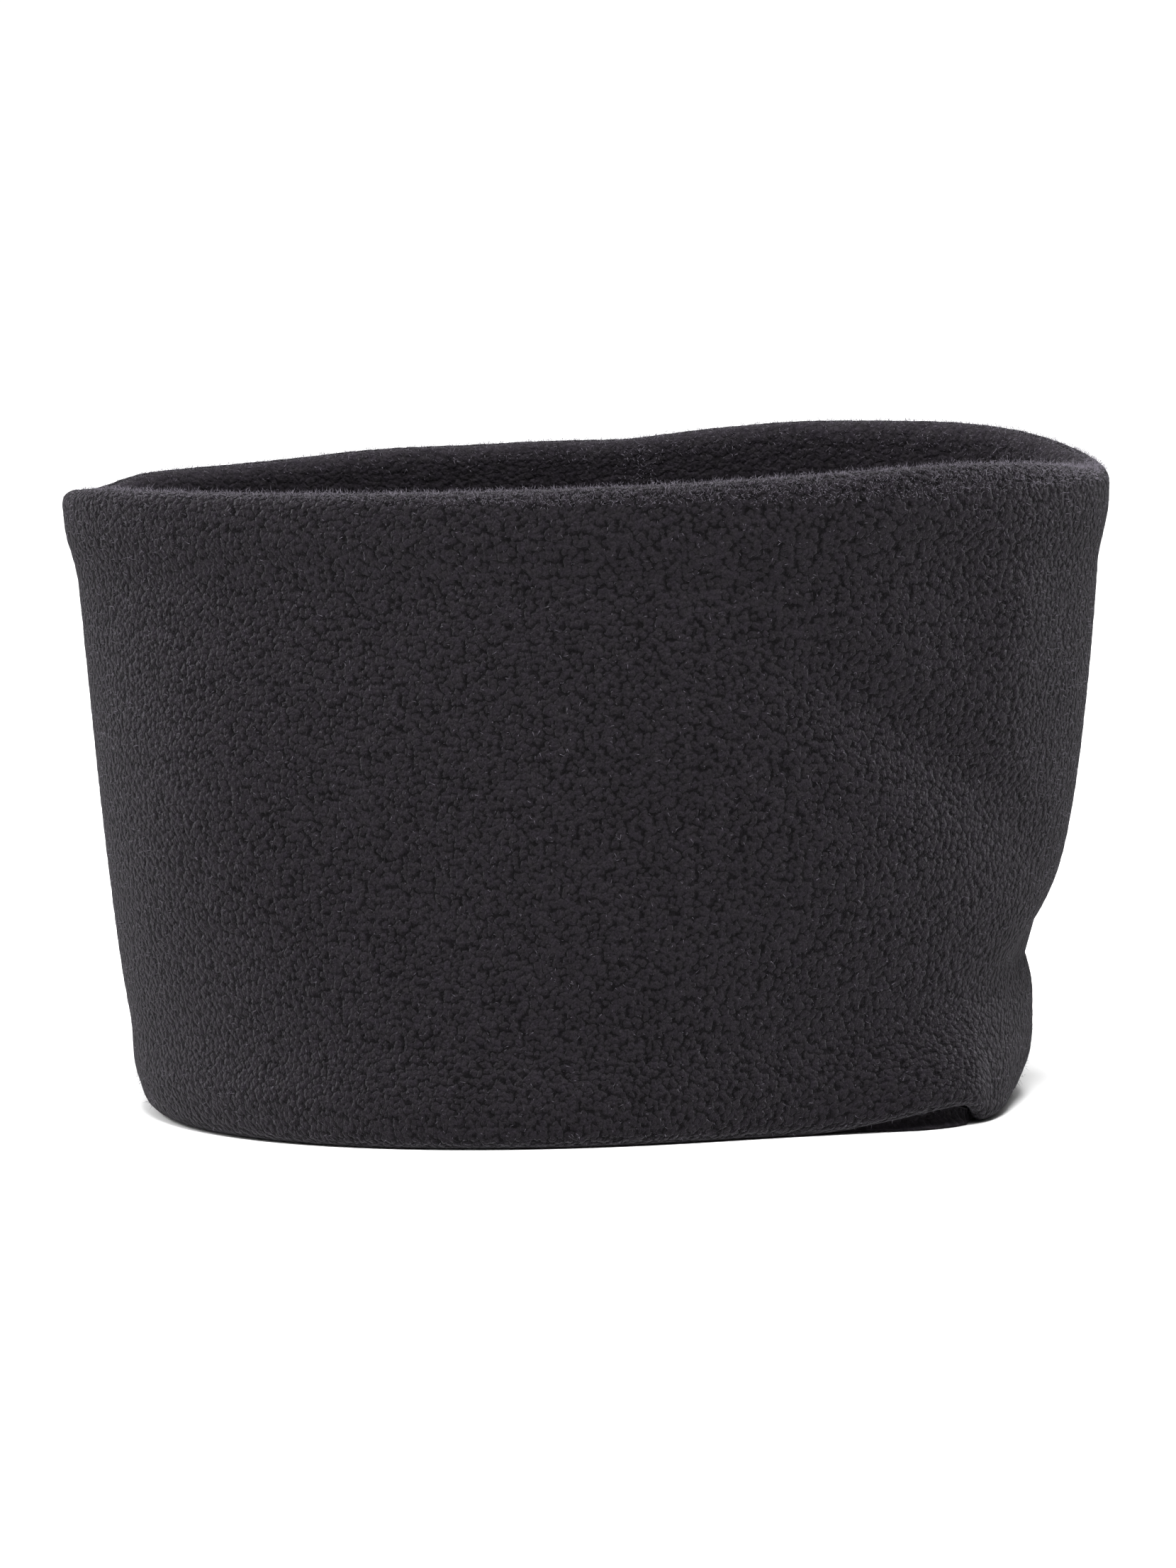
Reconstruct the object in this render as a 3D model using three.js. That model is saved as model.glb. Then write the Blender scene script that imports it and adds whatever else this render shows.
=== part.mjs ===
// A double-layer fleece neck gaiter, standing open on its lower rim.
//
// Millimetres, +Z up. +X runs along the long side of the oval and -Y is the front.
// The origin is the middle of the oval that the gaiter stands on.
//
// It is made as a real one is sewn. Two fleece strips are cut flat, each is closed into a tube
// by a seam at the back, and the two tubes are joined along both rims. Their seam allowances are
// turned in between the layers, so that a rim is four layers thick and shows no raw edge.
// Each strip is extruded flat here, with its allowances already turned, and then stood up.

import * as THREE from "three";
import { mergeVertices } from "three/addons/utils/BufferGeometryUtils.js";

const { lerp, smoothstep } = THREE.MathUtils;

// ---------------------------------------------------------------- the standing tube

const tubeHeight = 155; // wall height at the two narrow ends of the oval
const openingLength = 256; // upper rim, outside
const openingDepth = 111;
const footLength = 222.4; // lower rim, outside, before its ends are drawn in
const footDepth = 144;
const footShift = -3.7; // the foot sits a little to the left of the opening
const openingFullness = 0.31; // how much deeper the opening is on its right side
const footFullness = -0.14; // the foot is deeper on its left side
const crestRise = 2.6; // the upper rim stands higher along its long sides than at its ends,
const crestLean = 4.7; // higher on the right than on the left
const crestDip = 1.6; // and lower in the middle of each long side
const crestReach = 6; // the power that keeps the crest up until close to the ends
const rightBulge = 3.4; // how far the right-hand end bellies out half-way up
const footTuck = 6; // how far both ends of the foot are drawn in
const tuckFade = 9; // the power that keeps the tuck close to the foot

// The foot's front right corner, which stands out further than the rest of its oval
const cornerReach = 14;
const cornerAngle = 2.22;
const cornerSpread = 0.3; // in radians
const cornerFade = 5; // the power with which it sinks back into the wall above

// The soft dent in the right-hand end, where the wall gives way under its own weight
const dentHeight = 40;
const dentDepth = 8;
const dentWidth = 9.5; // half-height of the crease
const dentSpread = 0.58; // how far it reaches round the end, in radians
const dentFall = 14; // how much lower it runs for each radian away from the end

// ---------------------------------------------------------------- the fleece and its seams

const fleece = 2.2; // one layer
const allowance = 1.6; // a layer pressed flat where it is turned in
const allowanceLength = 8; // from the rim to the cut edge
const seamGap = 1.2; // between the two turned-in allowances, where the stitching runs
const foldGap = 0.35; // between a layer and its own turned-in allowance
const midGap = 1.3; // between the two layers half-way up the wall
const rimBlend = 24; // height over which the layers close up behind the allowances
const foldThickness = 2; // fleece under the fold at the very edge of a rim
const rimRound = 4.6; // height over which the rim rounds off
const footFlat = 1.7; // width of the flat that each layer stands on
const seamSlit = 0.4; // between the two cut ends of a strip, at its back seam

const panelFacets = 96; // round the oval
const seamStagger = (2 * Math.PI) / panelFacets; // the lining's seam lies beside the shell's

const threadRadius = 0.2;
const threadSides = 4;
const threadPointsPerWave = 4;
const rimSeamWaves = 40; // round the whole rim
const rimSeamWave = 1.4; // half-height of the zigzag
const rimSeamDepth = 4.6; // from the edge of the rim to the stitch line
const turningGap = 0.9; // the stretch of the lower seam that is closed last, in radians
const turningGapMiddle = 0.8; // where it is, from the middle of the back
const turningWaves = 10;
const turningWave = 0.8;
const threadEndGap = 0.012; // between the end of one thread and the start of the next
const backSeamWaves = 20;
const backSeamWidth = 2.4; // half-width of the ladder across a back seam
const backSeamMargin = 14; // from each rim to the end of a back seam's ladder
const threadClearance = 0.3; // from a thread to the fleece it lies against

const labelWidth = 20; // a blank care label, folded once and caught in the lining's back seam
const labelHeight = 32;
const labelThickness = 0.8;
const labelClearance = 0.3;
const labelFoot = 40; // from the lower rim to the bottom of the label
const labelFacets = 4;

// ---------------------------------------------------------------- worked out from those

const seamHalf = seamGap / 2;
const rimOffset = seamHalf + allowance + foldGap; // a layer's hidden face, from the wall's middle
const rimOuter = rimOffset + fleece;
const slitHalfAngle = seamSlit / openingLength;

/** The point at an angle round the tube, an offset out from the middle of the wall and a height.
 *  The angle starts at the middle of the back and runs clockwise, seen from above. */
function stand(angle, offset, z) {
  const up = z / tubeHeight;
  const side = Math.sin(angle);
  const bulge = 2 * rightBulge * up * (1 - up);
  const tuck = footTuck * (1 - up) ** tuckFade;
  const length = lerp(footLength, openingLength, up) / 2 + bulge - tuck - rimOuter;
  const depth = lerp(footDepth, openingDepth, up) / 2 - rimOuter;
  const fullness = lerp(footFullness, openingFullness, up);
  const x = lerp(footShift, 0, up) + bulge + length * side;
  const y = depth * Math.cos(angle) * (1 + fullness * side);
  const alongX = length * Math.cos(angle);
  const alongY = depth * (fullness * Math.cos(2 * angle) - side);
  const out = new THREE.Vector2(-alongY, alongX).normalize();
  const reach = offset - dent(angle, z) + corner(angle, z);
  const long = 1 - side ** crestReach; // 0 at the two ends
  const crest = (crestRise + crestLean * side + crestDip * side ** 2) * long * up ** 2;
  return new THREE.Vector3(x + out.x * reach, y + out.y * reach, z + crest);
}

/** How far the wall is pushed in. */
function dent(angle, z) {
  const fromEnd = angleBetween(angle, Math.PI / 2);
  const crease = dentHeight - dentFall * Math.abs(fromEnd);
  const across = (z - crease) / dentWidth;
  const fade = Math.exp(-((fromEnd / dentSpread) ** 2));
  const lifted = smoothstep(z, 0, dentHeight - dentWidth); // the foot itself isn't moved
  return (dentDepth * fade * lifted) / (1 + across ** 2);
}

/** How far the foot's front right corner stands out. */
function corner(angle, z) {
  const away = angleBetween(angle, cornerAngle) / cornerSpread;
  return cornerReach * Math.exp(-(away ** 2)) * (1 - z / tubeHeight) ** cornerFade;
}

function angleBetween(a, b) {
  return Math.atan2(Math.sin(a - b), Math.cos(a - b));
}

/** Moves a flat piece's vertices, given as angle share, offset and height, to where they stand. */
function standUp(geometry, toAngle) {
  geometry.deleteAttribute("normal");
  geometry.deleteAttribute("uv");
  const flat = geometry.attributes.position;
  for (let i = 0; i < flat.count; i++) {
    const point = stand(toAngle(flat.getZ(i)), flat.getX(i), flat.getY(i));
    flat.setXYZ(i, point.x, point.y, point.z);
  }
  const closed = mergeVertices(geometry, 1e-5);
  closed.computeVertexNormals();
  return closed;
}

// ---------------------------------------------------------------- fleece strips

/** A layer's hidden face, from the middle of the wall: wide at both rims, where the allowances
 *  lie behind it, and close to the other layer in between. */
function layerOffset(z) {
  const fromRim = Math.min(z, tubeHeight - z);
  return lerp(rimOffset, midGap / 2, smoothstep(fromRim, allowanceLength + 1, rimBlend));
}

/** Heights at which the wall bends: close together round the dent, wide apart above it. */
function wallLevels() {
  const low = allowanceLength + 4;
  const crease = [-2, -1, 0, 1, 2.5].map((n) => dentHeight + n * dentWidth);
  const last = crease[crease.length - 1];
  const high = tubeHeight - low;
  return [low, ...crease, lerp(last, high, 1 / 3), lerp(last, high, 2 / 3), high];
}

/** Half a rim's outline, as pairs of offset and distance from the edge of the rim. It runs from
 *  the layer's outer face over the fold, along the turned-in allowance and back to the layer. */
function rimFold() {
  const flatStart = rimOuter - 1.5;
  return [
    [rimOuter, rimRound],
    [rimOuter - 0.5, rimRound * 0.4],
    [flatStart, 0],
    [flatStart - footFlat, 0],
    [seamHalf, 1.4],
    [seamHalf, allowanceLength],
    [seamHalf + allowance, allowanceLength],
    [seamHalf + allowance, foldThickness],
    [rimOffset, foldThickness],
  ];
}

/** The cut-through outline of one layer. outward is 1 for the shell and -1 for the lining. */
function layerSection(outward) {
  const levels = wallLevels();
  const outline = [
    ...levels.map((z) => [layerOffset(z) + fleece, z]),
    ...rimFold().map(([offset, inset]) => [offset, tubeHeight - inset]),
    ...levels.toReversed().map((z) => [layerOffset(z), z]),
    ...rimFold().toReversed(),
  ];
  return new THREE.Shape(outline.map(([offset, z]) => new THREE.Vector2(outward * offset, z)));
}

function fleeceTube(outward, seamAngle) {
  const strip = new THREE.ExtrudeGeometry(layerSection(outward), {
    depth: 1,
    steps: panelFacets,
    bevelEnabled: false,
  });
  const start = seamAngle + slitHalfAngle;
  const turn = 2 * Math.PI - 2 * slitHalfAngle;
  return standUp(strip, (share) => start + share * turn);
}

// ---------------------------------------------------------------- threads

/** A thread along a list of points, as one closed tube. */
function thread(points) {
  const path = new THREE.CatmullRomCurve3(points, false, "centripetal");
  const round = new THREE.Shape();
  for (let i = 0; i < threadSides; i++) {
    const turn = (2 * Math.PI * i) / threadSides;
    const corner = [threadRadius * Math.cos(turn), threadRadius * Math.sin(turn)];
    if (i === 0) round.moveTo(...corner);
    else round.lineTo(...corner);
  }
  round.closePath();
  const tube = new THREE.ExtrudeGeometry(round, {
    steps: points.length - 1,
    extrudePath: path,
    bevelEnabled: false,
  });
  tube.deleteAttribute("normal");
  tube.deleteAttribute("uv");
  const closed = mergeVertices(tube, 1e-5);
  closed.computeVertexNormals();
  return closed;
}

/** Points of a wave: place(share, sway) gives the point at a share of the way along. */
function wavePoints(waves, place) {
  const count = waves * threadPointsPerWave;
  const points = [];
  for (let i = 0; i <= count; i++) {
    const share = i / count;
    points.push(place(share, Math.sin(2 * Math.PI * waves * share)));
  }
  return points;
}

/** Stitching that runs round a rim, between the two allowances. */
function rimStitching(from, to, waves, height, sway) {
  return thread(
    wavePoints(waves, (share, swing) => stand(lerp(from, to, share), 0, height + swing * sway)),
  );
}

/** The ladder of thread across a back seam, on the hidden face of its layer. */
function backStitching(outward, seamAngle) {
  const halfAngle = backSeamWidth / (openingLength / 2);
  const standOff = threadClearance + threadRadius;
  return thread(
    wavePoints(backSeamWaves, (share, swing) => {
      const z = lerp(backSeamMargin, tubeHeight - backSeamMargin, share);
      const offset = outward * (layerOffset(z) - standOff);
      return stand(seamAngle + swing * halfAngle, offset, z);
    }),
  );
}

// ---------------------------------------------------------------- care label

/** The folded label lies flat on the lining, with its cut ends at the back seam. */
function careLabel() {
  const face = -(midGap / 2 + fleece + labelClearance);
  const outline = new THREE.Shape([
    new THREE.Vector2(face, labelFoot),
    new THREE.Vector2(face, labelFoot + labelHeight),
    new THREE.Vector2(face - labelThickness, labelFoot + labelHeight),
    new THREE.Vector2(face - labelThickness, labelFoot),
  ]);
  const strip = new THREE.ExtrudeGeometry(outline, {
    depth: 1,
    steps: labelFacets,
    bevelEnabled: false,
  });
  const width = labelWidth / (openingLength / 2);
  return standUp(strip, (share) => seamStagger + share * width);
}

// ---------------------------------------------------------------- the assembly

const shellFleece = { color: 0x2b282c, roughness: 0.95, metalness: 0 };
const liningFleece = { color: 0x272428, roughness: 0.95, metalness: 0 };
const sewingThread = { color: 0x1d1b1f, roughness: 0.6, metalness: 0 };
const labelSatin = { color: 0x4a484c, roughness: 0.5, metalness: 0 };

function piece(name, geometry, finish) {
  const mesh = new THREE.Mesh(geometry, new THREE.MeshStandardMaterial(finish));
  mesh.name = name;
  return mesh;
}

const upperStitchLine = tubeHeight - rimSeamDepth;
const gapStart = turningGapMiddle - turningGap / 2;
const gapEnd = turningGapMiddle + turningGap / 2;
const fullTurn = 2 * Math.PI;
const lowerWaves = Math.round(rimSeamWaves * (1 - turningGap / fullTurn));

const gaiter = new THREE.Group();
gaiter.add(piece("outer_shell", fleeceTube(1, 0), shellFleece));
gaiter.add(piece("inner_lining", fleeceTube(-1, seamStagger), liningFleece));
gaiter.add(piece("shell_back_seam_thread", backStitching(1, 0), sewingThread));
gaiter.add(piece("lining_back_seam_thread", backStitching(-1, seamStagger), sewingThread));
gaiter.add(
  piece(
    "top_rim_seam_thread",
    rimStitching(threadEndGap, fullTurn - threadEndGap, rimSeamWaves, upperStitchLine, rimSeamWave),
    sewingThread,
  ),
);
gaiter.add(
  piece(
    "bottom_rim_seam_thread",
    rimStitching(gapEnd, gapStart + fullTurn, lowerWaves, rimSeamDepth, rimSeamWave),
    sewingThread,
  ),
);
gaiter.add(
  piece(
    "closing_stitch_thread",
    rimStitching(
      gapStart + threadEndGap,
      gapEnd - threadEndGap,
      turningWaves,
      rimSeamDepth,
      turningWave,
    ),
    sewingThread,
  ),
);
gaiter.add(piece("care_label", careLabel(), labelSatin));

export default gaiter;
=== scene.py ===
# %% [markdown]
# # A fleece neck gaiter
#
# The gaiter is a double tube of fleece that stands open on its lower rim. This lesson builds the
# cloth that shows: the outer shell and the lining, both with turned-in rims, and the short pile
# that stands off them. The threads and the care label come ready-made from the CAD model and only
# get their finish here.
#
# Everything is in metres, in the CAD model's own frame: +Z up, +X along the long side of the oval,
# -Y the front.

# %% Load the CAD model
import math

import bmesh
import bpy
import numpy as np
from mathutils import Matrix, Vector, noise
from mathutils.kdtree import KDTree


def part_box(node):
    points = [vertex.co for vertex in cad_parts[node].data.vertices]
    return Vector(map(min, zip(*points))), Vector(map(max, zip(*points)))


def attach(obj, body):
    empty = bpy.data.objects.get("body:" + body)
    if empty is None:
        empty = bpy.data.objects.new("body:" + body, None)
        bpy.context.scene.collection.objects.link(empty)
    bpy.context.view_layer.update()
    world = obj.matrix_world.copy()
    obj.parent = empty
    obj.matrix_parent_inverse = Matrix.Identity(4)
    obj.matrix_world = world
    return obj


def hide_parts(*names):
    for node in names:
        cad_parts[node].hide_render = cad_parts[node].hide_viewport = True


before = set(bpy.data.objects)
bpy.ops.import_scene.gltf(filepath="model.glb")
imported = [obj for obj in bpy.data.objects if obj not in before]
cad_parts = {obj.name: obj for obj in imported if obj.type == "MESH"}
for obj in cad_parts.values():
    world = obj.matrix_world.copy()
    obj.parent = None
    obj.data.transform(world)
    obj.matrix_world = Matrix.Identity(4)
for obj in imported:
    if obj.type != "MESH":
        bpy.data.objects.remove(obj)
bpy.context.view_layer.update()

shell_low, shell_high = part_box("outer_shell")
shell_size = shell_high - shell_low

# %% [markdown]
# ## Sizes
#
# The CAD shell's box is read, and its height is printed beside these sizes; the sizes themselves
# are given here: the tube's overall sizes, and the maker's own sizes for the fleece and its folds.
# They could be typed in as bare numbers where they are used, but a named value tells what it is
# and is changed in one place.

# %% Sizes of the tube and its cloth
MM = 0.001
fleece = 2.2 * MM  # one layer
allowance = 1.6 * MM  # a layer pressed flat where it is turned in
allowance_length = 8 * MM
seam_gap = 1.2 * MM  # between the two turned-in allowances
fold_gap = 0.35 * MM  # between a layer and its own allowance
mid_gap = 1.3 * MM  # between the two layers half-way up
rim_blend = 24 * MM  # the layers close up over this height behind the allowances
fold_thickness = 2 * MM
rim_offset = seam_gap / 2 + allowance + fold_gap  # a layer's hidden face, from the wall's middle
rim_outer = rim_offset + fleece

tube_height = 155 * MM  # at the narrow ends
opening_length = 256 * MM
opening_depth = 111 * MM
foot_length = 222.4 * MM  # before the ends are drawn in
foot_depth = 144 * MM
foot_shift = -3.7 * MM
opening_fullness = 0.31  # how much deeper the opening is on its right side
foot_fullness = -0.14
crest_rise = 2.6 * MM  # the upper rim is higher along its long sides,
crest_lean = 4.7 * MM  # higher on the right,
crest_dip = 1.6 * MM  # and lower in the middle of each long side
crest_reach = 6
right_bulge = 3.4 * MM
foot_tuck = 6 * MM  # how far both ends of the foot are drawn in
tuck_fade = 9
print("the shell stands", round(shell_size.z / MM, 1), "mm high")

# %% [markdown]
# ## How the tube stands
#
# A round ring is easy to spin, and the standing gaiter is far from round: it is a wide oval at the
# top, a shorter and deeper one at the foot, and the right-hand end gives way in a soft dent. So
# each piece of cloth is first spun round, and then every point is moved to where it stands. One
# function holds that shape, so that the shell, the lining and the pile all follow it.
#
# It takes whole arrays of points at once, because numpy moves a hundred thousand points as easily
# as one.

# %% The standing shape
RIGHT_END = math.pi / 2
dent_height = 40 * MM
dent_depth = 8 * MM
dent_width = 9.5 * MM
dent_spread = 0.58
dent_fall = 14 * MM
corner_reach = 14 * MM  # the foot's front right corner stands out
corner_angle = 2.22
corner_spread = 0.3
corner_fade = 5

# angle, height, rise, spread in angle, reach in height, slope in height for each radian
SOFT_FOLDS = (
    (2.40, 91 * MM, -2.1 * MM, 0.42, 11 * MM, 62 * MM),
    (2.14, 116 * MM, 2.0 * MM, 0.12, 26 * MM, 0),
    (2.55, 60 * MM, 1.6 * MM, 0.30, 22 * MM, 0),
    (4.09, 82 * MM, 5.0 * MM, 0.36, 42 * MM, 0),
    (3.45, 50 * MM, -1.8 * MM, 0.30, 20 * MM, 60 * MM),
    (2.95, 110 * MM, 1.0 * MM, 0.30, 30 * MM, 0),
    (0.62, 70 * MM, -1.0 * MM, 0.26, 26 * MM, -20 * MM),
    (5.80, 60 * MM, 1.2 * MM, 0.30, 30 * MM, 0),
)

edge_hold = 12 * MM  # the folds fade out this close to a rim
left_sag = 3.2 * MM  # how far the left-hand end of the upper rim sags
left_end = 130 * MM
left_end_reach = 8 * MM

# the back begins between these two places along Y
BACK_BEGINS = (-4 * MM, 8 * MM)
# place along X, rise, reach
BACK_RIM_WAVES = (
    (-119 * MM, -2.4 * MM, 8 * MM),
    (-51 * MM, 0.9 * MM, 20 * MM),
    (9 * MM, -1.0 * MM, 14 * MM),
    (51 * MM, 0.7 * MM, 18 * MM),
)


def mix(a, b, share):
    return a + (b - a) * share


def ease(low, high, value):
    """0 below low, 1 above high, and a smooth step between them."""
    share = np.clip((value - low) / (high - low), 0, 1)
    return share * share * (3 - 2 * share)


def turned_from(angle, centre):
    return np.arctan2(np.sin(angle - centre), np.cos(angle - centre))


def dent(angle, z):
    """How far the wall is pushed in at the right-hand end."""
    from_end = turned_from(angle, RIGHT_END)
    crease = dent_height - dent_fall * np.abs(from_end)
    across = (z - crease) / dent_width
    fade = np.exp(-((from_end / dent_spread) ** 2))
    return dent_depth * fade * ease(0, dent_height - dent_width, z) / (1 + across**2)


def corner(angle, z):
    """How far the foot's front right corner stands out."""
    away = turned_from(angle, corner_angle) / corner_spread
    return corner_reach * np.exp(-(away**2)) * (1 - z / tube_height) ** corner_fade


def soft_folds(angle, z):
    """The shallow swells (+) and valleys (-) of cloth that stands by itself."""
    out = 0
    for middle, height, rise, spread, reach, slope in SOFT_FOLDS:
        along = turned_from(angle, middle)
        across = (z - height - slope * along) / reach
        out = out + rise * np.exp(-((along / spread) ** 2) - across**2)
    return out * ease(0, edge_hold, z) * ease(0, edge_hold, tube_height - z)


def rim_waves(x, y):
    """How far the upper rim rises or sags along the back and at the left-hand end."""
    rise = 0
    for middle, height, reach in BACK_RIM_WAVES:
        rise = rise + height * np.exp(-(((x - middle) / reach) ** 2))
    end_sag = left_sag * np.exp(-(((x + left_end) / left_end_reach) ** 2))
    return rise * ease(*BACK_BEGINS, y) - end_sag


def stand(angle, offset, z):
    """Where a point of the cloth stands, from its angle round the tube, clockwise from the middle
    of the back, its offset out from the middle of the wall, and its height."""
    up = z / tube_height
    side = np.sin(angle)
    bulge = 2 * right_bulge * up * (1 - up)
    tuck = foot_tuck * (1 - up) ** tuck_fade
    length = mix(foot_length, opening_length, up) / 2 + bulge - tuck - rim_outer
    depth = mix(foot_depth, opening_depth, up) / 2 - rim_outer
    fullness = mix(foot_fullness, opening_fullness, up)
    x = mix(foot_shift, 0, up) + bulge + length * side
    y = depth * np.cos(angle) * (1 + fullness * side)
    along_x = length * np.cos(angle)
    along_y = depth * (fullness * np.cos(2 * angle) - side)
    long = np.hypot(along_x, along_y)
    reach = offset - dent(angle, z) + corner(angle, z) + soft_folds(angle, z)
    crest = crest_rise + crest_lean * side + crest_dip * side**2
    crest *= (1 - side**crest_reach) * up**2
    crest += rim_waves(x, y) * up**4
    return np.stack(
        [x - along_y / long * reach, y + along_x / long * reach, z + crest], axis=-1
    )


print("the dent is", round(float(dent(RIGHT_END, dent_height)) / MM, 1), "mm deep")

# %% [markdown]
# ## Measuring round the oval
#
# Equal steps of angle are long strides along the flat sides of an oval and short ones round its
# ends. Cloth has the same knit everywhere, so the rows and the pile are laid out by distance
# instead: the wall is walked once at half its height, and the distance gone is kept for each
# angle.

# %% Distance round the wall
walked = np.linspace(0, 2 * math.pi, 4001)
strides = np.diff(stand(walked, 0, tube_height / 2), axis=0)
gone = np.concatenate([[0], np.cumsum(np.linalg.norm(strides, axis=1))])
tube_round = gone[-1]
print("the tube is", round(tube_round / MM), "mm round")


def angle_at(share):
    """The angle at a share of the way round."""
    return np.interp(share * tube_round, gone, walked)


# %% [markdown]
# ## The camera
#
# The gaiter is seen from the front and a little above, from far away through a long lens, which
# keeps its upright sides nearly parallel. The camera's aim is given here: a Track To constraint
# would do the same, but a plain rotation keeps the small roll that the view has.

# %% Camera
camera_distance = 3.5
camera_elevation = math.radians(8.2)
camera_roll = math.radians(-0.97)
aim = Vector((-0.0006, 0.0, 0.0784))
camera = bpy.data.objects.new("camera", bpy.data.cameras.new("camera"))
bpy.context.scene.collection.objects.link(camera)
camera.location = aim + Vector(
    (
        0,
        -camera_distance * math.cos(camera_elevation),
        camera_distance * math.sin(camera_elevation),
    )
)
looking = aim - camera.location
camera.rotation_mode = "QUATERNION"
camera.rotation_quaternion = looking.to_track_quat("-Z", "Y")
camera.data.lens = 328.7
camera.data.sensor_width = 36
camera.data.clip_end = 100
camera.rotation_mode = "XYZ"
camera.rotation_euler.rotate_axis("Z", camera_roll)
bpy.context.scene.camera = camera
print("the camera is", camera_distance, "m away, with a lens of", round(camera.data.lens), "mm")

# %% [markdown]
# ## Cutting through the cloth
#
# Each layer is a strip whose two long edges are turned in at the rims. Cut through, it is one
# closed outline: up the face that shows, over the fold, down the turned-in allowance, down the
# hidden face, and the same at the foot. The face that shows gets close rows, so that the pile can
# shape it, and the hidden one only a few.

# %% One layer, cut through
def layer_offset(z):
    from_rim = np.minimum(z, tube_height - z)
    closed_up = ease(allowance_length + 1 * MM, rim_blend, from_rim)
    return mix(rim_offset, mid_gap / 2, closed_up)


rim_round = 4.6 * MM  # height over which a rim rounds off
lip = 0.12 * MM  # half the fine groove between shell and lining, along a rim
lip_depth = 0.9 * MM
lip_end = 2.2 * MM  # where the groove has opened to the full seam gap
rim_squareness = 0.85  # under 1 makes the rim a little squarer than a circle


def rim_fold(steps):
    """From the showing face over the rim and along the allowance: offset, distance in."""
    fold = []
    for i in range(steps + 1):
        turn = math.pi / 2 * i / steps
        fold.append(
            (
                lip + (rim_outer - lip) * math.cos(turn) ** rim_squareness,
                rim_round * (1 - math.sin(turn) ** rim_squareness),
            )
        )
    fold[-1] = (lip, lip_depth * 0.35)
    fold.append((lip * 1.5, lip_depth))
    fold.append((seam_gap / 2, lip_end))
    fold.append((seam_gap / 2, allowance_length))
    fold.append((seam_gap / 2 + allowance, allowance_length))
    fold.append((seam_gap / 2 + allowance, fold_thickness))
    fold.append((rim_offset, fold_thickness))
    return fold


def layer_outline(row_step, fold_steps, hidden_rows):
    """The closed outline of one layer, as offset and height."""
    rows = round((tube_height - 2 * rim_round) / row_step)
    showing = np.linspace(rim_round, tube_height - rim_round, rows + 1)[1:-1]
    hidden = np.linspace(tube_height - allowance_length, allowance_length, hidden_rows)
    fold = rim_fold(fold_steps)
    outline = [(layer_offset(z) + fleece, z) for z in showing]
    outline += [(offset, tube_height - inset) for offset, inset in fold]
    outline += [(layer_offset(z), z) for z in hidden]
    outline += [(offset, inset) for offset, inset in reversed(fold)]
    return outline


print("the wall is", round(2 * rim_outer / MM, 1), "mm thick at the rims")

# %% [markdown]
# ## Spinning a layer and standing it up
#
# The outline is spun once round the Z axis with the ends merged, which gives a closed round ring.
# A ring radius is added first, so that the offset can be read back from each point's distance from
# the axis. Then `stand` moves the points. A grid wrapped into a tube would be another way, but it
# needs its two edges sewn together afterwards.

# %% Spin and stand
RING = 1.0  # radius of the round ring before it is stood up


def spun_ring(outline, steps, name):
    bm = bmesh.new()
    corners = [bm.verts.new((RING + offset, 0, z)) for offset, z in outline]
    edges = [bm.edges.new(pair) for pair in zip(corners, corners[1:] + corners[:1])]
    bmesh.ops.spin(
        bm,
        geom=corners + edges,
        cent=(0, 0, 0),
        axis=(0, 0, 1),
        angle=2 * math.pi,
        steps=steps,
        use_merge=True,
    )
    bmesh.ops.recalc_face_normals(bm, faces=bm.faces)
    mesh = bpy.data.meshes.new(name)
    bm.to_mesh(mesh)
    bm.free()
    for polygon in mesh.polygons:
        polygon.use_smooth = True
    piece = bpy.data.objects.new(name, mesh)
    bpy.context.scene.collection.objects.link(piece)
    return piece


def points_of(mesh):
    points = np.empty(len(mesh.vertices) * 3)
    mesh.vertices.foreach_get("co", points)
    return points.reshape(-1, 3)


def normals_of(mesh):
    normals = np.empty(len(mesh.vertices) * 3)
    mesh.vertices.foreach_get("normal", normals)
    return normals.reshape(-1, 3)


def set_points(mesh, points):
    mesh.vertices.foreach_set("co", points.ravel())
    mesh.update()


def ring_places(mesh):
    """Share of the way round, clockwise from the back, offset and height of each point."""
    ring = points_of(mesh)
    share = (np.arctan2(ring[:, 0], ring[:, 1]) / (2 * math.pi)) % 1
    share[share > 1 - 1e-5] = 0
    return share, np.hypot(ring[:, 0], ring[:, 1]) - RING, ring[:, 2]


# %% [markdown]
# ## Laying the pattern on the cloth
#
# The pile's pattern has to follow the cloth over the rims, so it is laid out on the strip as it
# was cut: one direction is the distance round the tube, the other the distance along the
# cut-through outline. That is a UV map, in metres. A second one, which only the export uses, folds
# the same strip into two rows to fill a square.

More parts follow.
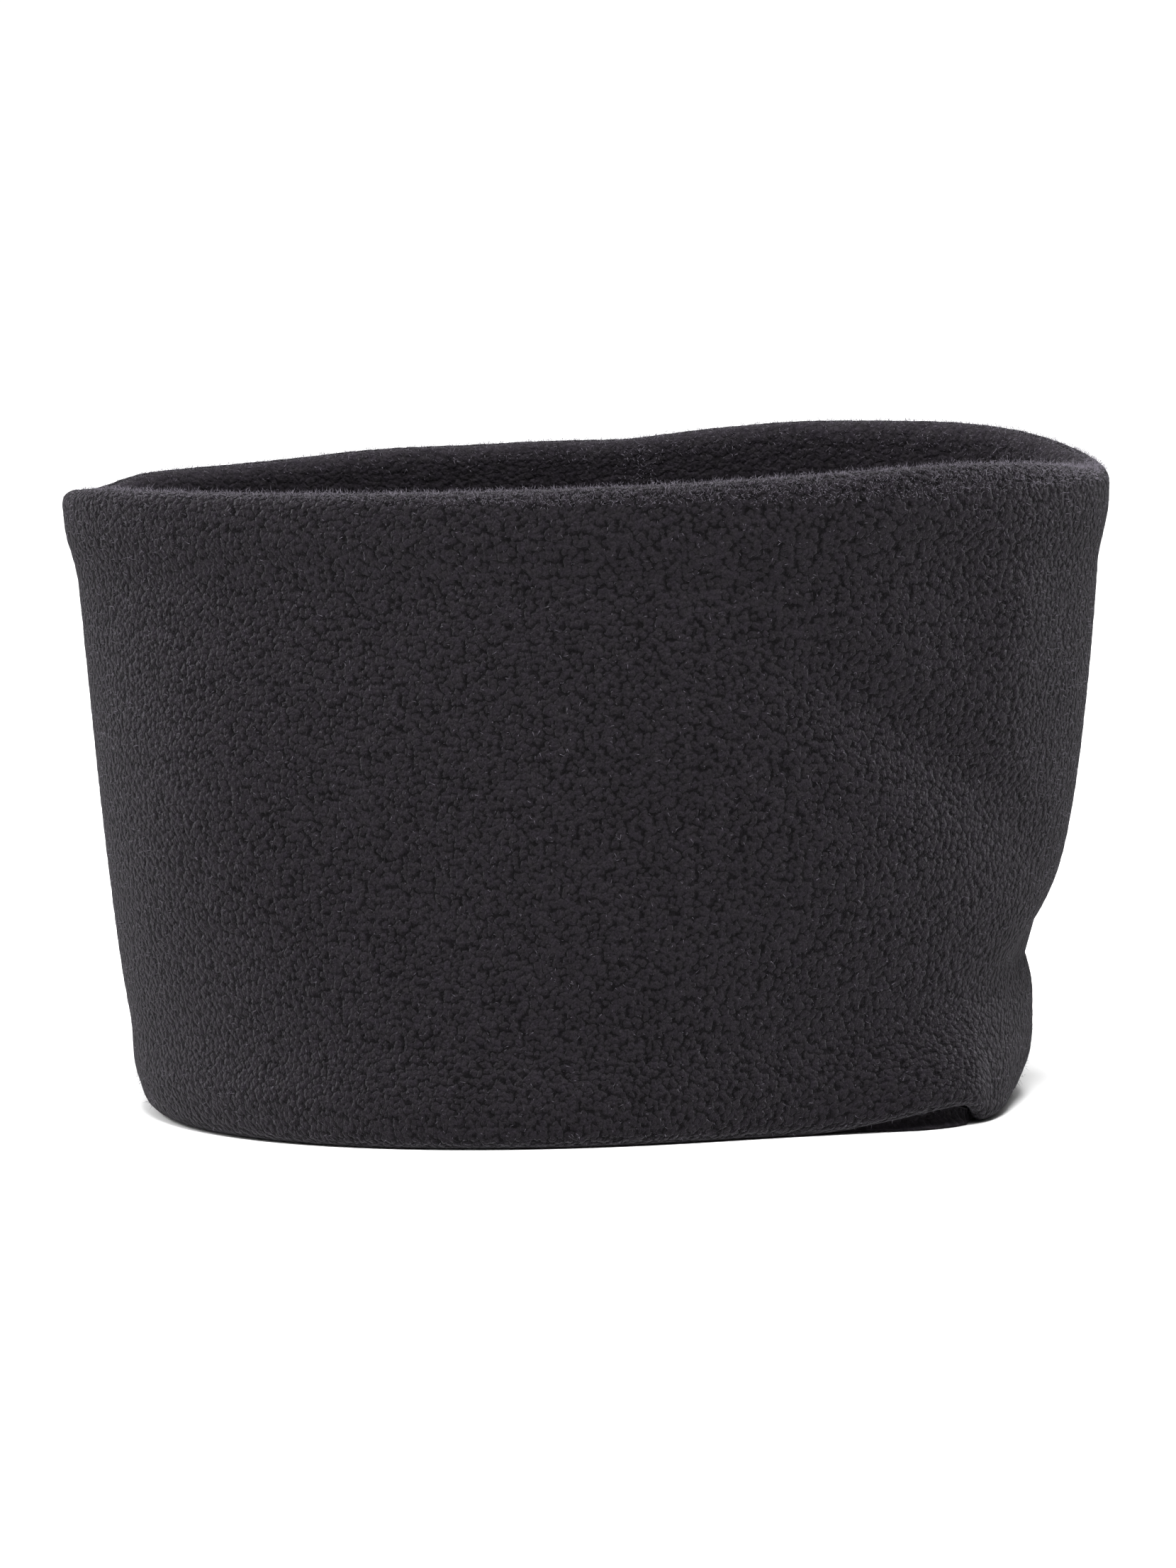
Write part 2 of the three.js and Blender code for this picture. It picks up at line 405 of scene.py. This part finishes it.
# %% Strip coordinates
def lay_strip(mesh, outline, share, offset, z):
    steps = np.diff(np.array([*outline, outline[0]]), axis=0)
    along = np.concatenate([[0], np.cumsum(np.hypot(*steps.T))])
    total = along[-1]
    tree = KDTree(len(outline))
    for i, (corner_offset, corner_z) in enumerate(outline):
        tree.insert((corner_offset, corner_z, 0), i)
    tree.balance()
    nearest = [tree.find((o, h, 0))[1] for o, h in zip(offset, z)]
    up = along[nearest]
    up = np.where(up > total * 0.75, up - total, up)  # the cut is behind, where it doesn't show

    corners = np.empty(len(mesh.loops), dtype=np.int32)
    mesh.loops.foreach_get("vertex_index", corners)
    turn = share[corners].reshape(-1, 4)
    rise = up[corners].reshape(-1, 4)
    turn = np.where((np.ptp(turn, axis=1) > 0.5)[:, None] & (turn < 0.5), turn + 1, turn)
    rise = np.where((np.ptp(rise, axis=1) > total / 2)[:, None] & (rise < 0), rise + total, rise)
    strip = np.stack([turn * tube_round, rise], axis=-1)
    mesh.uv_layers.new(name="strip").data.foreach_set("uv", strip.ravel())

    row = (turn.mean(axis=1) > 0.5)[:, None]
    across = (turn - 0.5 * row) * 2
    rise = (rise - up.min()) / total
    margin = 0.004
    square = np.stack([across, (row + rise) / 2], axis=-1) * (1 - 2 * margin) + margin
    mesh.uv_layers.new(name="OFBake").data.foreach_set("uv", square.ravel())


# %% [markdown]
# ## The pile's lumps
#
# Fleece is brushed and tumbled until its fibres gather into small soft lumps with dark crevices
# between them. The larger lumps are real shape: each point of the showing face moves out or in by
# a cell pattern. The finer ones come with the material. `noise.voronoi` gives the distances to the
# nearest cell centres, and the difference between the first two is 0 on the border between two
# cells, which is where the crevice runs.

# %% Lumps
lump_size = 3.0 * MM
lump_height = 0.17 * MM
lump_middle = 0.75  # the share of its height at which a lump leaves the surface as it is


def crevice_distance(points, size):
    """0 in a crevice between two lumps, about 1 on top of a lump."""
    found = np.empty(len(points))
    for i, point in enumerate(points / size):
        near, _ = noise.voronoi(point)
        found[i] = near[1] - near[0]
    return np.clip(found / 0.5, 0, 1)


def raise_lumps(mesh, showing):
    """Moves the showing points in or out along their normals."""
    points = points_of(mesh)
    top = crevice_distance(points[showing], lump_size)
    points[showing] += normals_of(mesh)[showing] * (
        (np.sqrt(top) - lump_middle) * lump_height
    )[:, None]
    set_points(mesh, points)


# %% [markdown]
# ## The rolled rim
#
# At the foot's front right corner the shell's rim has rolled up a little, and the lining's fold
# shows beneath it, in the shade. The shell's foot is lifted there, most at the corner and gently
# tapering along the front, and the lining's foot is pushed out under it.

# %% The roll at the corner
roll_lift = 5.0 * MM
roll_push = 2.6 * MM
roll_height = 34 * MM  # the lift has faded out at this height
# the lift grows between the first two angles and fades between the last two
LIFT_ANGLES = (2.10, 2.21, 2.22, 2.60)
PUSH_LIFTS = (0.8 * MM, 4.5 * MM)  # the push grows as the lift goes from one to the other
PUSH_HEIGHTS = (0.1, 0.6)  # and fades between these shares of the lift
corner_side = 2.02  # the shell stands out beside the roll, at this angle
corner_side_spread = 0.16
corner_out = 1.0 * MM
overhang = 1.6 * MM  # how far the rolled rim stands out over the lining
overhang_height = 22 * MM


def lift_at(angle):
    grown = ease(*LIFT_ANGLES[:2], angle)
    return roll_lift * grown * (1 - ease(*LIFT_ANGLES[2:], angle))


def rolled_up(angle, z):
    """The shell's height, with its foot lifted."""
    return z + lift_at(angle) * (1 - ease(0, roll_height, z))


def pushed_out(angle, offset, z):
    """The lining's offset, with its foot pushed out under the shell's."""
    lift = np.maximum(lift_at(angle), 1e-6)
    share = ease(*PUSH_LIFTS, lift)
    return offset + roll_push * share * (1 - ease(*PUSH_HEIGHTS, z / lift))


def foot_corner(angle, z):
    """How far the shell's foot stands out beside the roll and over it."""
    away = (angle - corner_side) / corner_side_spread
    out = corner_out * np.exp(-(away**2)) + overhang * ease(0, roll_lift, lift_at(angle))
    return out * (1 - ease(0, overhang_height, z))


print("the rim is lifted by", round(float(lift_at(LIFT_ANGLES[1])) / MM, 1), "mm")

# %% [markdown]
# ## Back seams
#
# Each layer is closed into a tube by a seam at the back. From the showing side such a seam is a
# fine valley, where the two folds meet, on a low swell, because the seam allowances lie behind it.
# The lining's seam lies a little to the right of the shell's.

# %% Seam relief
seam_valley = 0.7 * MM
valley_width = 1.1 * MM
swell_width = 4.5 * MM
shell_seam_swell = 0.7 * MM
lining_seam_swell = 0.15 * MM  # the label lies close beside this seam
lining_seam_angle = 2 * math.pi / 96  # as on the CAD model


def seam_relief(angle, seam_angle, swell):
    """How far the showing face stands out at a seam."""
    away = turned_from(angle, seam_angle) * opening_length / 2
    valley = seam_valley * np.exp(-((away / valley_width) ** 2))
    return swell * np.exp(-((away / swell_width) ** 2)) - valley


# %% [markdown]
# ## The outer shell
#
# The shell is the layer that shows. Its face has a row about every millimetre, which is as fine as
# its lumps need.

# %% Outer shell
def showing_face(offset, z):
    """True on the face that shows and on the folds over the rims."""
    out = offset > layer_offset(z) + fleece / 2
    return out | (z < 2 * MM) | (z > tube_height - 2 * MM)


def cloth_layer(name, outline, steps, outward, seam_angle, seam_swell):
    piece = spun_ring(outline, steps, name)
    mesh = piece.data
    share, offset, z = ring_places(mesh)
    lay_strip(mesh, outline, share, offset, z)
    showing = showing_face(offset, z)
    angle = angle_at(share)
    offset = outward * (offset + showing * seam_relief(angle, seam_angle, seam_swell))
    if outward > 0:
        offset = offset + foot_corner(angle, z)
        z = rolled_up(angle, z)
    else:
        offset = pushed_out(angle, offset, z)
        mesh.flip_normals()
    set_points(mesh, stand(angle, offset, z))
    raise_lumps(mesh, showing)
    print(name + ":", len(mesh.polygons), "faces")
    return piece, showing


shell, shell_showing = cloth_layer(
    "shell_cloth", layer_outline(1.05 * MM, 9, 7), 540, 1, 0, shell_seam_swell
)

# %% [markdown]
# ## The lining
#
# The lining is the same strip turned the other way, so its offsets are taken as negative. Less of
# it shows, so its rows are wider apart.

# %% Inner lining
lining, lining_showing = cloth_layer(
    "lining_cloth",
    layer_outline(1.5 * MM, 8, 7),
    380,
    -1,
    lining_seam_angle,
    lining_seam_swell,
)

# %% [markdown]
# ## Loose fibres
#
# Brushed fleece has a halo of single fibres, which softens its outline and catches the light on
# the rims. Each is a three-sided spike. Blender's hair would be another way, but a mesh is
# exported as it stands. One spike is made with create_cone, and numpy repeats it at random places
# of the cloth, leaning at random.

# %% Loose fibres
fibre_radius = 0.045 * MM
fibre_length = (0.5 * MM, 1.5 * MM)
fibre_lean = 0.9
fibre_spread = 0.6
fibre_floor = 1.5 * MM  # no fibre grows below this height


def loose_fibres(name, cloth, showing, count, extra, seed):
    """Roots the fibres in the showing cloth, above the floor, and more where `extra` is high."""
    draw = np.random.default_rng(seed)
    bm = bmesh.new()
    bmesh.ops.create_cone(bm, cap_ends=True, segments=3, radius1=1, radius2=0, depth=1)
    bmesh.ops.translate(bm, vec=(0, 0, 0.35), verts=bm.verts)  # rooted in the cloth
    bmesh.ops.remove_doubles(bm, verts=bm.verts, dist=1e-4)
    bmesh.ops.recalc_face_normals(bm, faces=bm.faces)
    bm.verts.index_update()
    spike = np.array([v.co for v in bm.verts])
    spike_faces = [[v.index for v in face.verts] for face in bm.faces]
    bm.free()

    at = points_of(cloth.data)
    chance = (1 + extra(at)) * showing * (at[:, 2] > fibre_floor)
    roots = draw.choice(len(at), count, p=chance / chance.sum())
    normals = normals_of(cloth.data)[roots]
    stem = normals + fibre_lean * draw.normal(size=(count, 3)) * fibre_spread
    stem /= np.linalg.norm(stem, axis=1)[:, None]
    side = np.cross(stem, draw.normal(size=(count, 3)))
    side /= np.linalg.norm(side, axis=1)[:, None]
    other = np.cross(stem, side)
    long = draw.uniform(*fibre_length, count)[:, None, None]
    points = at[roots] + draw.normal(size=(count, 3)) * 0.4 * MM
    points = points[:, None] + fibre_radius * (
        spike[None, :, :1] * side[:, None] + spike[None, :, 1:2] * other[:, None]
    )
    points = points + spike[None, :, 2:] * long * stem[:, None]
    first = np.arange(count) * len(spike)
    faces = [[start + i for i in face] for start in first.tolist() for face in spike_faces]
    mesh = bpy.data.meshes.new(name)
    mesh.from_pydata(points.reshape(-1, 3), [], faces)
    piece = bpy.data.objects.new(name, mesh)
    bpy.context.scene.collection.objects.link(piece)
    print(name + ":", count, "fibres")
    return piece


# painted highlight: more of the pale fibres grow along the rims and the ends, to give them a pale
# line
shell_rim_extra = 28  # this many times as many fibres again, along the shell's rim
shell_end_extra = 2.5
lining_rim_extra = 12
pale_patch_extra = 28
pale_patch_place = 14 * MM  # along X: a paler patch near the rim, beside the lining's seam, where more pale fibres grow
pale_patch_reach = 9 * MM


def on_shell(at):
    rim = shell_rim_extra * ease(tube_height - 2 * MM, tube_height, at[:, 2])
    ends = shell_end_extra * ease(96 * MM, 116 * MM, np.abs(at[:, 0]))
    return rim + ends


def on_lining(at):
    rim = lining_rim_extra * ease(tube_height - 4 * MM, tube_height, at[:, 2])
    away = np.abs(at[:, 0] - pale_patch_place) + 1000 * (at[:, 1] < 0)  # the back half only
    near = 1 - ease(0, pale_patch_reach, away)
    return rim + pale_patch_extra * near * ease(120 * MM, 145 * MM, at[:, 2])


shell_fibres = loose_fibres("shell_fibres", shell, shell_showing, 34000, on_shell, 1)
lining_fibres = loose_fibres("lining_fibres", lining, lining_showing, 15000, on_lining, 2)

# %% [markdown]
# ## Fleece
#
# Up close fleece is neither smooth nor shiny. Its colour is a matt charcoal, with painted shade
# that takes it nearly black in the crevices and painted highlights where single fibres catch the
# light, and the loose fibres give every edge that is seen aslant a pale bloom. The first is a
# pattern of cells, warped so that no two lumps are alike. The bloom is the shader's sheen.

# %% Node helper
def node_maker(material):
    """Gives a function that makes this material's nodes and returns their outputs."""
    nodes, links = material.node_tree.nodes, material.node_tree.links

    def node(kind, inputs, **settings):
        made = nodes.new("ShaderNode" + kind)
        for key, value in settings.items():
            setattr(made, key, value)
        for key, value in inputs.items():
            if isinstance(value, bpy.types.NodeSocket):
                links.new(value, made.inputs[key])
            else:
                made.inputs[key].default_value = value
        return made.outputs

    return node


# %% [markdown]
# ## The pile's pattern
#
# Two patterns are stacked: pillows from the cells, and a finer noise for the fibres on them. The
# pillows give the height and close up into crevices, where the colour gets painted shade, and the
# fibre noise paints highlights on the lumps. Both lie on the strip's own coordinates, so they
# follow the cloth over the rims.

# %% Fleece material
def fleece_material(name, colour, cell, relief, crevice, sheen):
    material = bpy.data.materials.new(name)
    material.use_nodes = True
    links = material.node_tree.links
    shader = material.node_tree.nodes["Principled BSDF"]
    node = node_maker(material)

    def maths(operation, *values):
        return node("Math", dict(enumerate(values)), operation=operation)[0]

    place = node("UVMap", {}, uv_map="strip")["UV"]
    # wander: pushes the pattern about, so that no two lumps are alike
    wander = node(
        "TexNoise", {"Vector": place, "Scale": 0.9 / cell, "Detail": 2}, noise_dimensions="2D"
    )["Color"]
    pushed = node(
        "VectorMath", {0: wander, 1: (1.0 * cell,) * 3, 2: place}, operation="MULTIPLY_ADD"
    )[0]
    cells = node(
        "TexVoronoi",
        {"Vector": pushed, "Scale": 1 / cell, "Smoothness": 0.45},
        voronoi_dimensions="2D",
        feature="SMOOTH_F1",
    )
    fibre = node(
        "TexNoise",
        {"Vector": pushed, "Scale": 2.4 / cell, "Detail": 3, "Roughness": 0.65},
        noise_dimensions="2D",
    )["Fac"]
    # some lumps stand up and others are sunk
    each = node("SeparateColor", {0: cells["Color"]})[0]
    pillow = node(
        "MapRange", {"Value": cells["Distance"], "From Min": 0.62, "From Max": 0.12}
    )["Result"]
    shut = node(
        "MapRange",
        {"Value": maths("MULTIPLY_ADD", each, 0.24, pillow), "From Min": -0.02, "From Max": 0.55},
        interpolation_type="SMOOTHSTEP",
    )["Result"]
    height = maths("MULTIPLY_ADD", fibre, 1.3, maths("MULTIPLY_ADD", shut, 0.5, pillow))
    bump = node("Bump", {"Height": height, "Strength": 1.0, "Distance": relief})["Normal"]
    links.new(bump, shader.inputs["Normal"])

    # painted shade: the colour falls to `crevice` of itself in the crevices between the lumps
    depth = node("MapRange", {"Value": shut, "To Min": crevice, "To Max": 1.0})["Result"]
    # painted highlight: the fibre noise lightens the colour where single fibres catch the light
    painted_glint = node(
        "MapRange",
        {"Value": fibre, "From Min": 0.3, "From Max": 0.7, "To Min": 0.55, "To Max": 1.5},
    )["Result"]
    each_tone = node("MapRange", {"Value": each, "To Min": 0.78, "To Max": 1.16})["Result"]
    # the colour: painted shade, times painted highlight, times each lump's own tone
    strength = maths("MULTIPLY", maths("MULTIPLY", depth, painted_glint), each_tone)
    # a colour that drifts a little between violet and green-brown, as dyed fibres do
    drift = node("TexNoise", {"Vector": place, "Scale": 0.5 / cell}, noise_dimensions="2D")["Fac"]
    tint = node("Mix", {0: drift, 6: (*colour[0], 1), 7: (*colour[1], 1)}, data_type="RGBA")[2]
    links.new(
        node("VectorMath", {0: tint, "Scale": strength}, operation="SCALE")[0],
        shader.inputs["Base Color"],
    )
    shader.inputs["Roughness"].default_value = 0.95
    shader.inputs["Specular IOR Level"].default_value = 0.04
    shader.inputs["Sheen Weight"].default_value = sheen
    shader.inputs["Sheen Roughness"].default_value = 0.35
    shader.inputs["Sheen Tint"].default_value = (0.95, 0.92, 1, 1)
    return material


shell_fleece = fleece_material(
    "shell_fleece",
    ((0.0110, 0.0091, 0.0124), (0.0106, 0.0096, 0.0104)),
    cell=1.3 * MM,
    relief=0.50 * MM,
    crevice=0.20,
    sheen=0.09,
)
# the lining's lighter colours are painted light that makes up for the shade inside the tube
lining_fleece = fleece_material(
    "lining_fleece",
    ((0.0140, 0.0117, 0.0158), (0.0135, 0.0124, 0.0133)),
    cell=1.3 * MM,
    relief=0.18 * MM,
    # less painted shade in the lining's crevices
    crevice=0.75,
    sheen=0.08,
)
shell.data.materials.append(shell_fleece)
lining.data.materials.append(lining_fleece)
print("made", shell_fleece.name, "and", lining_fleece.name)

# %% [markdown]
# ## The loose fibres' painted highlight
#
# A single fibre lets some light through, so it looks paler than the cloth that it grows from. A
# hair or transmission shader could show that, but it is slow over so many fibres, so a paler
# colour
# stands in: a painted highlight. A fine noise makes some fibres darker than others. The threads
# and the label need two tones in the same way, so one function makes all three.

# %% Two-tone material
def two_tone_material(name, texture, inputs, tones, roughness, specular=0.5, **settings):
    material = bpy.data.materials.new(name)
    material.use_nodes = True
    shader = material.node_tree.nodes["Principled BSDF"]
    node = node_maker(material)
    place = node("TexCoord", {})["Object"]
    pattern = node(texture, {"Vector": place, **inputs}, **settings)["Fac"]
    low, high = tones
    tint = node("Mix", {0: pattern, 6: (*low, 1), 7: (*high, 1)}, data_type="RGBA")[2]
    material.node_tree.links.new(tint, shader.inputs["Base Color"])
    shader.inputs["Roughness"].default_value = roughness
    shader.inputs["Specular IOR Level"].default_value = specular
    return material


# painted highlight: the fibres' colour is far paler than the cloth's
fibre_highlight_colour = (0.135, 0.124, 0.148)
fibre_highlight_tones = [[share * c for c in fibre_highlight_colour] for share in (0.6, 1.4)]
loose_fibre = two_tone_material(
    "loose_fibre", "TexNoise", {"Scale": 900}, fibre_highlight_tones, roughness=0.8, specular=0.1
)
for fibres in (shell_fibres, lining_fibres):
    fibres.data.materials.append(loose_fibre)
print("made", loose_fibre.name)

# %% [markdown]
# ## Thread and label
#
# Sewing thread is plied, so its strands show as slanting bands. A care label is woven satin, with
# fine level ribs and a soft shine. Either could be modelled strand by strand, but the threads lie
# between the layers and the label low inside the tube, so a wave pattern is enough. Their meshes
# stay as the CAD model gives them.

# %% Thread and label finishes
sewing_thread = two_tone_material(
    "sewing_thread",
    "TexWave",
    {"Scale": 900, "Distortion": 1},
    ((0.008, 0.007, 0.009), (0.022, 0.02, 0.024)),
    roughness=0.55,
    bands_direction="DIAGONAL",
)
label_satin = two_tone_material(
    "label_satin",
    "TexWave",
    {"Scale": 700},
    ((0.055, 0.052, 0.06), (0.085, 0.08, 0.09)),
    roughness=0.42,
    bands_direction="Z",
)
for name, cad_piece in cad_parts.items():
    if name.endswith("_thread") or name == "care_label":
        finish = label_satin if name == "care_label" else sewing_thread
        cad_piece.data.materials.clear()
        cad_piece.data.materials.append(finish)
        print(name, "is finished in", finish.name)

# %% [markdown]
# ## The floor
#
# The gaiter stands on a plain pale surface that runs far past it. A studio would curve a backdrop
# up behind, so that no line shows. A flat grid is simpler, and its far edge is above the camera's
# view, but a low view shows a faint line.

# %% Floor
floor_reach = 30
floor_white = 0.94
bm = bmesh.new()
bmesh.ops.create_grid(bm, x_segments=1, y_segments=1, size=floor_reach)
floor_mesh = bpy.data.meshes.new("floor")
bm.to_mesh(floor_mesh)
bm.free()
floor = bpy.data.objects.new("floor", floor_mesh)
bpy.context.scene.collection.objects.link(floor)
floor_paint = bpy.data.materials.new("floor_paint")
floor_paint.use_nodes = True
floor_shader = floor_paint.node_tree.nodes["Principled BSDF"]
floor_shader.inputs["Base Color"].default_value = (floor_white, floor_white, floor_white, 1)
floor_shader.inputs["Roughness"].default_value = 0.9
floor_shader.inputs["Specular IOR Level"].default_value = 0
floor.data.materials.append(floor_paint)
print("the floor reaches", floor_reach, "m each way")

# %% [markdown]
# ## The lights
#
# The world is white and lights the gaiter softly from all sides. Alone it would leave the pile
# flat, because relief only shows where the light has a direction. A large disk overhead gives it
# one, and a smaller disk, left and a little behind, lights that end of the tube.

# %% Lights
world_strength = 1.07
world = bpy.data.worlds.new("studio")
bpy.context.scene.world = world
world.use_nodes = True
world.node_tree.nodes["Background"].inputs["Color"].default_value = (1, 1, 1, 1)
world.node_tree.nodes["Background"].inputs["Strength"].default_value = world_strength


def soft_light(name, place, size, power):
    light = bpy.data.lights.new(name, "AREA")
    light.shape = "DISK"
    light.size = size
    light.energy = power
    lamp = bpy.data.objects.new(name, light)
    bpy.context.scene.collection.objects.link(lamp)
    lamp.location = place
    lamp.rotation_mode = "QUATERNION"
    lamp.rotation_quaternion = (aim - Vector(place)).to_track_quat("-Z", "Y")
    lamp.visible_camera = False
    print(name + ":", power, "W")


soft_light("overhead", (0.05, -0.7, 1.65), 1.0, 75)
soft_light("left", (-1.7, 0.75, 1.15), 0.8, 26)

# %% [markdown]
# ## Dark cards
#
# Dark cloth under white light from everywhere looks grey and flat. A studio stands black cards
# round such a thing, to take light away where it should fall off. One card stands in front and one
# on the right, both out of the camera's sight. A weaker world would darken every side alike, and
# the floor with it.

# %% Dark cards
card_black = 0.02
card_paint = bpy.data.materials.new("card_paint")
card_paint.use_nodes = True
card_shader = card_paint.node_tree.nodes["Principled BSDF"]
card_shader.inputs["Base Color"].default_value = (card_black, card_black, card_black, 1)


def dark_card(name, half_width, half_height, place, turn):
    """A card that stands on the floor, out of the camera's sight."""
    bm = bmesh.new()
    bmesh.ops.create_grid(bm, x_segments=1, y_segments=1, size=1)
    bmesh.ops.scale(bm, vec=(half_width, half_height, 1), verts=bm.verts)
    bmesh.ops.rotate(bm, matrix=Matrix.Rotation(math.pi / 2, 3, "X"), verts=bm.verts)
    bmesh.ops.rotate(bm, matrix=Matrix.Rotation(turn, 3, "Z"), verts=bm.verts)
    bmesh.ops.translate(bm, vec=(*place, half_height), verts=bm.verts)
    mesh = bpy.data.meshes.new(name)
    bm.to_mesh(mesh)
    bm.free()
    card = bpy.data.objects.new(name, mesh)
    bpy.context.scene.collection.objects.link(card)
    card.visible_camera = False
    card.data.materials.append(card_paint)
    print(name + ":", 2 * half_width, "by", 2 * half_height, "m")


dark_card("front_card", 5, 1.7, (0, -4.3), 0)
dark_card("right_card", 3, 2.4, (2.6, -0.6), math.pi / 2)
bpy.context.scene.view_settings.view_transform = "Standard"

# %% [markdown]
# ## Handing over
#
# The finished cloth stands for the CAD model's two plain layers, and the fibres go with it.
# Nothing on the gaiter moves, so every piece rides on its one body.

# %% Hand over
for piece, node, slot in (
    (shell, "outer_shell", "shell_fleece"),
    (lining, "inner_lining", "lining_fleece"),
):
    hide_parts(node)
    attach(piece, "root")
for fibres, slot in ((shell_fibres, "shell_fleece"), (lining_fibres, "lining_fleece")):
    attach(fibres, "root")
